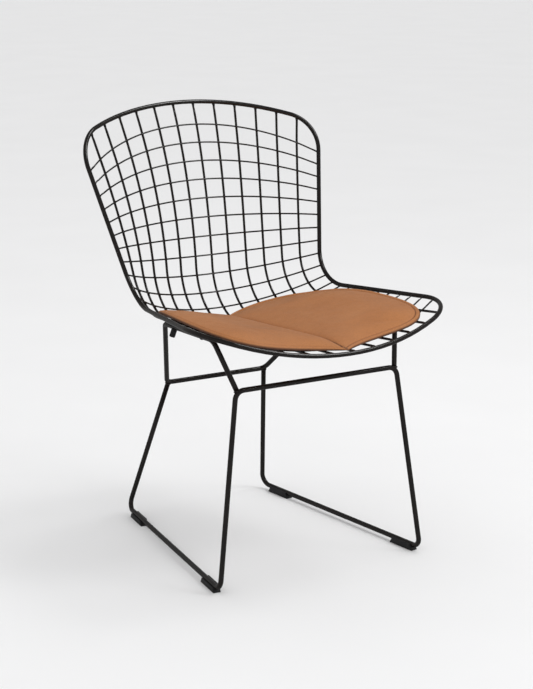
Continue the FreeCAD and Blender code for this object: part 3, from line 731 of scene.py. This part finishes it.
# Points nearer than the gap are one point, in the plan and on the shell
PLAN_GAP = 0.02 * MM
SHELL_GAP = 0.002 * MM
# Points in one cell of the grid share a spot on the shell. Points along the edge, a pitch
# apart, measure how far a point is from it.
PLAN_GRID = 0.01 * MM
EDGE_PITCH = 0.5 * MM
# Steps of the surface under the pad between two wires, and its rows past the last wire
SKIN_STEPS = 6
SKIN_ROWS_ON = 2
# The underside over the axes of the cross wires. Over the underside: the top at the border,
# less its rounding at the edge, and the top of a lobe, reached at a distance from the seam.
PAD_CLEARANCE = 2.4 * MM
BORDER_HEIGHT = 6.8 * MM
BORDER_ROUNDING = 2.0 * MM
CROWN_HEIGHT = 22.0 * MM
CROWN_REACH = 54 * MM
SEAM_DEPTH = 1.6 * MM
SEAM_WIDTH = 0.9 * MM
CREASE_DEPTH = 15.0 * MM
CREASE_REACH = 7.0 * MM
HOLLOW_REACH = 36.0 * MM
# Share of the crease that is a sharp groove, and the most it takes of the height
CREASE_SHARPNESS = 0.55
CREASE_LIMIT = 0.68
# How dark the painted shade in the seam groove and in the crease is, and how wide it is
SEAM_SHADE = 0.75
SEAM_SHADE_WIDTH = 0.6 * MM
CREASE_SHADE = 0.95
CREASE_SHADE_WIDTH = 1.6 * MM
HELD_WIDTH = 1.2 * CREASE_REACH
# Loops of the side wall: share of the height, how much painted shade darkens the leather, and
# how far it stands out past the edge
WALL_LOOPS = [(0.8, 0.45, 1.0 * MM), (0.4, 0.95, 1.2 * MM), (0.0, 1.0, 0.0)]
# The way out of the shell: half the base over which its slope is taken, and how far it is
# turned to the sitter
SLOPE_REACH = 12 * MM
LEAN_TO_SITTER = 0.35
# The furthest that a point of the leather moves as it fills, and the cloth frames it takes
PAD_SWELL_LIMIT = 3.0 * MM
SWELL_FRAMES = 20
STITCH_PITCH = 5.0 * MM
STITCH_LENGTH = 3.4 * MM
THREAD_RADIUS = 0.45 * MM
# A stitch: places as shares of its length, and heights as shares of the radius of the thread
STITCH_SHAPE = [(-0.5, -0.4), (-0.3, 0.5), (0.3, 0.5), (0.5, -0.4)]


def apply_modifiers(piece):
    graph = bpy.context.evaluated_depsgraph_get()
    done = bpy.data.meshes.new_from_object(piece.evaluated_get(graph))
    piece.modifiers.clear()
    piece.data = done


def shell_skin():
    """The surface that the cross wires lie on, run on to the front rim."""
    rows = [smooth_route(ring_places(name, across_chair), per_span=SKIN_STEPS)
            for name in cross_wire_names()]
    for _ in range(SKIN_ROWS_ON):
        rows.append([last * 2 - before for last, before in zip(rows[-1], rows[-2])])
    columns = [smooth_route([row[k] for row in rows], per_span=SKIN_STEPS)
               for k in range(len(rows[0]))]
    down = len(columns[0])
    places = [place for column in columns for place in column]
    faces = []
    for k in range(len(columns) - 1):
        for j in range(down - 1):
            first = k * down + j
            faces.append((first, first + 1, first + down + 1, first + down))
    return BVHTree.FromPolygons(places, faces)


def under(skin, place):
    """The spot of the shell under a place."""
    above = Vector((place.x, place.y, SITTER.z))
    spot = skin.ray_cast(above, Vector((0, 0, -1)))[0]
    return spot or skin.find_nearest(Vector((place.x, place.y, FRONT_CORNER.z)))[0]


def out_of_shell(skin, spot):
    """Direction out of the shell, partly turned to the sitter."""
    sideways = Vector((SLOPE_REACH, 0, 0))
    back = Vector((0, SLOPE_REACH, 0))
    across = under(skin, spot + sideways) - under(skin, spot - sideways)
    along = under(skin, spot + back) - under(skin, spot - back)
    normal = across.cross(along).normalized()
    return normal.lerp((SITTER - spot).normalized(), LEAN_TO_SITTER).normalized()


def pad_rows():
    """Rows of the top panel seen from above, each from the crease to the edge on the +X side."""
    edge = smooth_route([Vector((x, y, 0)) for x, y in PAD_EDGE], PAD_ROW_STEP)
    last = len(edge) - 1
    borders = []
    for k, point in enumerate(edge):
        before = edge[k - 1] if k > 0 else mirrored(edge[1])
        after = edge[k + 1] if k < last else mirrored(edge[last - 1])
        along = (after - before).normalized()
        outward = Vector((-along.y, along.x, 0))
        borders.append([point - outward * inset for inset in BORDER_LOOPS])
    rows = []
    shares = [(j / PANEL_COLUMNS) ** COLUMN_SPREAD for j in range(PANEL_COLUMNS)]
    for k, border in enumerate(borders):
        crease = borders[0][0].lerp(borders[last][0], k / last)
        rows.append([crease.lerp(border[0], share) for share in shares] + border)
    return rows


def in_plan(rows, row, column, beyond=0.0):
    """Place of a point of the panel; beyond moves a point of the edge outward."""
    line = rows[row]
    place = line[abs(column)] + (line[-1] - line[-2]).normalized() * beyond
    return mirrored(place) if column < 0 else place


def top_height(inset, across):
    """Height of the top of the pad at a distance from its edge and from its crease."""
    if inset < SEAM_INSET:
        rounding = 1 - min(inset / BORDER_ROUNDING, 1.0)
        height = BORDER_HEIGHT - BORDER_ROUNDING * rounding ** 2
    else:
        rise = 1 - min((inset - SEAM_INSET) / CROWN_REACH, 1.0)
        height = BORDER_HEIGHT + (CROWN_HEIGHT - BORDER_HEIGHT) * (1 - rise ** 2)
    height -= SEAM_DEPTH * math.exp(-((inset - SEAM_INSET) / SEAM_WIDTH) ** 2)
    crease = (CREASE_SHARPNESS * math.exp(-abs(across) / CREASE_REACH)
              + (1 - CREASE_SHARPNESS) * math.exp(-abs(across) / HOLLOW_REACH))
    return height - crease * min(CREASE_DEPTH, CREASE_LIMIT * height)


def pad_skin(rows):
    """The pad in the plan: top panel, side wall down to the underside, and underside."""
    bm = bmesh.new()
    row = bm.verts.layers.int.new("row")
    column = bm.verts.layers.int.new("column")
    level = bm.verts.layers.float.new("level")
    side = bm.verts.layers.float.new("side")
    last_row = len(rows) - 1
    last_column = len(rows[0]) - 1
    bmesh.ops.create_grid(bm, x_segments=2 * last_column, y_segments=last_row, size=1.0)
    for vertex in bm.verts:
        vertex[row] = round((vertex.co.y + 1) / 2 * last_row)
        vertex[column] = round(vertex.co.x * last_column)
        vertex[level] = 1.0
        vertex.co = in_plan(rows, vertex[row], vertex[column])
    # The panel of the first row and of the last is a single point on the crease
    bmesh.ops.remove_doubles(bm, verts=bm.verts, dist=PLAN_GAP)
    copied = bmesh.ops.duplicate(bm, geom=[*bm.verts, *bm.edges, *bm.faces])["geom"]
    under_side = {item for item in copied if isinstance(item, bmesh.types.BMVert)}
    # The underside takes the darkest painted shade.
    for vertex in under_side:
        vertex[level] = 0.0
        vertex[side] = 1.0
    open_edges = [item for item in bm.edges if len(item.link_faces) == 1]
    high_edges = [item for item in open_edges if item.verts[0] not in under_side]
    # Each wall loop takes more painted shade the nearer it is to the underside.
    for height, painted_wall_shade, beyond in WALL_LOOPS:
        pulled = bmesh.ops.extrude_edge_only(bm, edges=high_edges)["geom"]
        high_edges = [item for item in pulled if isinstance(item, bmesh.types.BMEdge)]
        for item in pulled:
            if isinstance(item, bmesh.types.BMVert):
                item.co = in_plan(rows, item[row], item[column], beyond)
                item[level] = height
                item[side] = painted_wall_shade
    return bm


def pad_blank(rows):
    """The skin of the pad laid on the shell, with its seam, its crease and what holds it."""
    bm = pad_skin(rows)
    column = bm.verts.layers.int["column"]
    level = bm.verts.layers.float["level"]
    seam = bm.verts.layers.float.new("seam")
    held = bm.verts.layers.float.new("held")
    edge = [row[-1] for row in rows]
    edge += [mirrored(point) for point in reversed(edge[1:-1])]
    near_edge = point_tree(even_points(edge, EDGE_PITCH, True))
    skin = shell_skin()
    spots = {}
    for vertex in bm.verts:
        loop = abs(vertex[column]) - PANEL_COLUMNS
        gap = BORDER_LOOPS[loop] if loop >= 0 else near_edge.find(vertex.co)[2]
        across = vertex.co.x
        top = top_height(gap, across)
        if vertex[level] == 1.0:
            # Painted shade: darker leather in the seam groove and in the crease.
            seam_groove_shade = math.exp(-((gap - SEAM_INSET) / SEAM_SHADE_WIDTH) ** 2)
            crease_groove_shade = math.exp(-(across / CREASE_SHADE_WIDTH) ** 2)
            vertex[seam] = max(SEAM_SHADE * seam_groove_shade, CREASE_SHADE * crease_groove_shade)
        pinned = vertex[level] < 1.0 or loop > 0
        vertex[held] = 1.0 if pinned else math.exp(-(across / HELD_WIDTH) ** 2)
        key = (round(vertex.co.x / PLAN_GRID), round(vertex.co.y / PLAN_GRID))
        if key not in spots:
            spot = under(skin, vertex.co)
            out = out_of_shell(skin, spot)
            shift = Vector((out.x, out.y, 0)) * (PAD_CLEARANCE + top)
            spot = under(skin, vertex.co - shift)
            spots[key] = (spot, out_of_shell(skin, spot))
        spot, out = spots[key]
        vertex.co = spot + out * (PAD_CLEARANCE + top * vertex[level])
    # The foot of the wall joins the edge of the underside
    bmesh.ops.remove_doubles(bm, verts=bm.verts, dist=SHELL_GAP)
    bmesh.ops.recalc_face_normals(bm, faces=bm.faces)
    return finished(bm, "leather_seat_pad", pad_leather)


def swell(pad):
    """Pressure fills the leather over the foam. The underside and the crease stay down."""
    mesh = pad.data
    rest = [vertex.co.copy() for vertex in mesh.vertices]
    weights = [item.value for item in mesh.attributes["held"].data]
    held = pad.vertex_groups.new(name="held_down")
    for index, weight in enumerate(weights):
        held.add([index], weight, "REPLACE")
    cloth = pad.modifiers.new("leather", "CLOTH")
    cloth.settings.quality = 6
    cloth.settings.use_pressure = True
    cloth.settings.uniform_pressure_force = 4.0
    cloth.settings.vertex_group_mass = "held_down"
    cloth.settings.tension_stiffness = 25.0
    cloth.settings.compression_stiffness = 25.0
    cloth.settings.shear_stiffness = 12.0
    cloth.settings.bending_stiffness = 1.5
    cloth.settings.effector_weights.gravity = 0.0
    cloth.point_cache.frame_start = 1
    cloth.point_cache.frame_end = SWELL_FRAMES
    for number in range(1, SWELL_FRAMES + 1):
        bpy.context.scene.frame_set(number)
    apply_modifiers(pad)
    bpy.context.scene.frame_set(1)
    for vertex, start in zip(pad.data.vertices, rest):
        move = vertex.co - start
        if move.length > PAD_SWELL_LIMIT:
            vertex.co = start + move.normalized() * PAD_SWELL_LIMIT


def down_column(pad, column):
    """Places along one column of the top of the pad, from back to front."""
    mesh = pad.data
    levels = mesh.attributes["level"].data
    columns = mesh.attributes["column"].data
    rows = mesh.attributes["row"].data
    found = [(rows[k].value, vertex.co.copy()) for k, vertex in enumerate(mesh.vertices)
             if columns[k].value == column and levels[k].value == 1.0]
    return [place for _, place in sorted(found, key=lambda item: item[0])]


def make_stitches(pad, name, line, closed):
    """Stitches along a seam, each a short rod that dips into the leather at its ends."""
    tree = BVHTree.FromObject(pad, bpy.context.evaluated_depsgraph_get())
    bm = bmesh.new()
    spots = even_points(line, STITCH_PITCH, closed)
    for here, onward in zip(spots, spots[1:]):
        heading = (onward - here).normalized()
        route = []
        for share, lift in STITCH_SHAPE:
            spot, normal, _, _ = tree.find_nearest(here + heading * (STITCH_LENGTH * share))
            route.append(spot + normal * (THREAD_RADIUS * lift))
        drawn_rod(bm, route, THREAD_RADIUS, THREAD_SIDES)
    seated(finished(bm, name, seam_thread), "pad_leather")


def make_pad():
    pad = pad_blank(pad_rows())
    swell(pad)
    seam_column = PANEL_COLUMNS + SEAM_LOOP
    seam = down_column(pad, seam_column) + down_column(pad, -seam_column)[::-1]
    crease = down_column(pad, 0)
    pad.data.polygons.foreach_set("use_smooth", [True] * len(pad.data.polygons))
    seated(pad, "pad_leather", "seat_pad")
    make_stitches(pad, "border_stitches", seam, True)
    make_stitches(pad, "crease_stitches", crease, False)


# The stage

FLOOR_REACH = 40.0
PAPER_PALE = (0.92, 0.92, 0.925)
PAPER_DEEP = (0.905, 0.905, 0.91)
PAPER_IN_STEEL = (0.25, 0.25, 0.25)
# Strength of the room at the level of the eye, overhead, and as the camera sees it, and the
# share of it that shows in the steel
HORIZON_STRENGTH = 1.28
ZENITH_STRENGTH = 0.67
BACKDROP_STRENGTH = 0.80
STEEL_SHARE = 0.22


def make_stage():
    """Pale paper floor that runs on far past the chair, and is darker in the steel."""
    material, shader = new_material("pale_paper")
    nodes = Nodes(material)
    tone = nodes.ranged(nodes.noise(3.0, 2.0), 0.0, 1.0)
    paper = nodes.blended(tone, PAPER_DEEP, PAPER_PALE)
    in_steel = nodes.add("ShaderNodeLightPath").outputs["Is Glossy Ray"]
    nodes.join(nodes.blended(in_steel, paper, PAPER_IN_STEEL), shader.inputs["Base Color"])
    shader.inputs["Roughness"].default_value = 0.9
    shader.inputs["Specular IOR Level"].default_value = 0.1
    bm = bmesh.new()
    bmesh.ops.create_grid(bm, x_segments=2, y_segments=2, size=FLOOR_REACH)
    floor = finished(bm, "pale_floor", material, smooth=False)


def make_world():
    """Pale room, brighter at the level of the eye than overhead, dimmer in the steel, and of
    one even tone behind the floor."""
    world = bpy.data.worlds.new("studio")
    world.use_nodes = True
    nodes = world.node_tree.nodes
    links = world.node_tree.links
    place = nodes.new("ShaderNodeTexCoord")
    split = nodes.new("ShaderNodeSeparateXYZ")
    links.new(place.outputs["Generated"], split.inputs["Vector"])
    level = nodes.new("ShaderNodeMapRange")
    level.inputs["From Min"].default_value = 0.0
    level.inputs["From Max"].default_value = 1.0
    level.inputs["To Min"].default_value = HORIZON_STRENGTH
    level.inputs["To Max"].default_value = ZENITH_STRENGTH
    links.new(split.outputs["Z"], level.inputs["Value"])
    path = nodes.new("ShaderNodeLightPath")
    share = nodes.new("ShaderNodeMapRange")
    share.inputs["To Min"].default_value = 1.0
    share.inputs["To Max"].default_value = STEEL_SHARE
    links.new(path.outputs["Is Glossy Ray"], share.inputs["Value"])
    strength = nodes.new("ShaderNodeMath")
    strength.operation = "MULTIPLY"
    links.new(level.outputs["Result"], strength.inputs[0])
    links.new(share.outputs["Result"], strength.inputs[1])
    shown = nodes.new("ShaderNodeMapRange")
    shown.inputs["To Max"].default_value = BACKDROP_STRENGTH
    links.new(path.outputs["Is Camera Ray"], shown.inputs["Value"])
    links.new(strength.outputs["Value"], shown.inputs["To Min"])
    links.new(shown.outputs["Result"], nodes["Background"].inputs["Strength"])
    nodes["Background"].inputs["Color"].default_value = (1.0, 1.0, 1.0, 1.0)
    bpy.context.scene.world = world


def area_lamp(name, place, target, size, power):
    lamp = bpy.data.lights.new(name, "AREA")
    lamp.shape = "SQUARE"
    lamp.size = size
    lamp.energy = power
    holder = bpy.data.objects.new(name, lamp)
    bpy.context.collection.objects.link(holder)
    holder.location = place
    holder.rotation_euler = (Vector(target) - Vector(place)).to_track_quat("-Z", "Y").to_euler()


# Lamps: place, the spot they face, size and power. They face a spot above the chair, so that
# the floor under them stays below white.
LAMPS = {
    "key_softbox": ((2.05, -2.25, 3.77), (0, 0, 2.5), 1.1, 38.0),
    "top_softbox": ((0.95, -0.28, 2.3), (0, 0.1, 1.0), 0.4, 4.4),
}


def make_lamps():
    for name, (place, target, size, power) in LAMPS.items():
        area_lamp(name, place, target, size, power)


CAMERA_PLACE = (-1.6078, -2.7551, 1.1633)
CAMERA_PITCH = math.radians(76.02)
CAMERA_HEADING = math.radians(-30.44)
FOCAL_LENGTH = 122.59


def make_camera():
    lens = bpy.data.cameras.new("photo_view")
    lens.sensor_fit = "HORIZONTAL"
    lens.sensor_width = 36.0
    lens.lens = FOCAL_LENGTH
    lens.clip_end = 50.0
    camera = bpy.data.objects.new("photo_view", lens)
    bpy.context.collection.objects.link(camera)
    camera.location = CAMERA_PLACE
    camera.rotation_euler = (CAMERA_PITCH, 0.0, CAMERA_HEADING)
    bpy.context.scene.camera = camera


make_camera()
make_world()
make_lamps()
make_stage()
make_rim()
rim_core = point_tree(even_points(rim_route(), RIM_PITCH, True))
for wire in long_wire_names():
    make_wire(wire, around_sitter, LONG_WIRE_RADIUS, LONG_WIRE_SIDES, rim_core)
for wire in cross_wire_names():
    make_wire(wire, across_chair, CROSS_WIRE_RADIUS, CROSS_WIRE_SIDES, rim_core)
make_crossing_welds()
make_base()
make_mouldings()
make_pad()

bpy.context.scene.view_settings.view_transform = "Standard"
